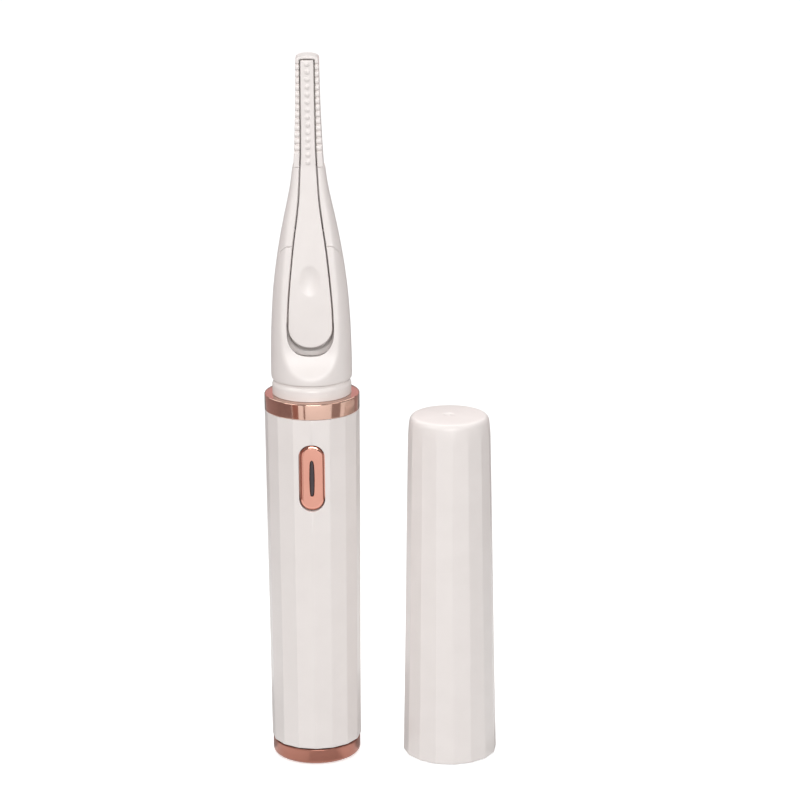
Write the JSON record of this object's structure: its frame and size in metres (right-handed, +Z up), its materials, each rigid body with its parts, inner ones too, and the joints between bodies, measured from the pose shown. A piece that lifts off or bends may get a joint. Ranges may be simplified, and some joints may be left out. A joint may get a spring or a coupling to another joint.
{
  "type": "heated eyelash curler",
  "caption": "Rechargeable heated eyelash curler with a faceted handle, see-saw clamp lever and heated comb tip, its pull-off cap standing beside it.",
  "frame": {"origin": "centre of the handle's base face, on the surface the curler stands on", "axes": "+Z up along the handle to the comb's tip; the button and the clamp lever face -Y; the loose cap stands on the +X side"},
  "size_m": [0.0489, 0.02, 0.152],
  "materials": {
    "white_plastic": "satin-gloss moulded white ABS, very slightly warm",
    "neck_plastic": "polished white",
    "rose_gold": "polished rose-gold plating",
    "rose_gold_satin": "satin rose-gold plating",
    "smoked_window": "smoked light window",
    "steel": "bright",
    "dark_steel": "dull grey",
    "nickel": "nickel strip",
    "copper": "film heater with copper tracks",
    "board": "green solder mask",
    "black_plastic": "moulded",
    "cell_sleeve": "blue heat-shrink sleeve",
    "led": "clear",
    "heater": "pale non-stick coating",
    "silicone": "soft, heat-proof",
    "wire_red": "insulated wire",
    "wire_black": "insulated wire"
  },
  "bodies": {
    "handle": {"handle_shell": "white_plastic", "top_ring": "rose_gold", "base_cap": "rose_gold_satin", "usb_c_shell": "steel", "usb_c_tongue": "black_plastic", "main_circuit_board": "board", "charge_chip": "black_plastic", "control_chip": "black_plastic", "heater_transistor": "black_plastic", "status_led": "led", "tact_switch": "steel", "battery_cell": "cell_sleeve", "battery_tab_top": "nickel", "battery_tab_bottom": "nickel", "inner_tray": "white_plastic", "neck_collar": "neck_plastic", "head_base": "white_plastic", "head_upper": "white_plastic", "lever_pin": "dark_steel", "lever_spring": "dark_steel", "comb_frame": "white_plastic", "comb_back_cover": "white_plastic", "heater_bar": "heater", "heating_element": "copper", "temperature_sensor": "black_plastic", "heater_lead_left": "wire_black", "heater_lead_right": "wire_red"},
    "lever": {"clamp_lever": "white_plastic", "clamp_pad": "silicone"},
    "button": {"power_button": "rose_gold", "button_window": "smoked_window", "switch_plunger": "black_plastic"},
    "cap": {"cap": "white_plastic"}
  },
  "joints": [
    {"name": "lever_pivot", "type": "hinge", "parent": "handle", "child": "lever", "pos_m": [0, -0.0017, 0.1155], "axis": [1, 0, 0], "range_deg": [0, 8], "stiffness_Nm_per_rad": 0.15, "springref_deg": -8.59, "deforming": ["lever_spring"]},
    {"name": "button_press", "type": "slide", "parent": "handle", "child": "button", "axis": [0, 1, 0], "range_m": [0, 0.00035], "stiffness_N_per_m": 1500, "springref_m": -0.0003},
    {"name": "cap_lift", "type": "slide", "parent": "handle", "child": "cap", "axis": [0, 0, 1], "range_m": [0, 0.16]}
  ]
}
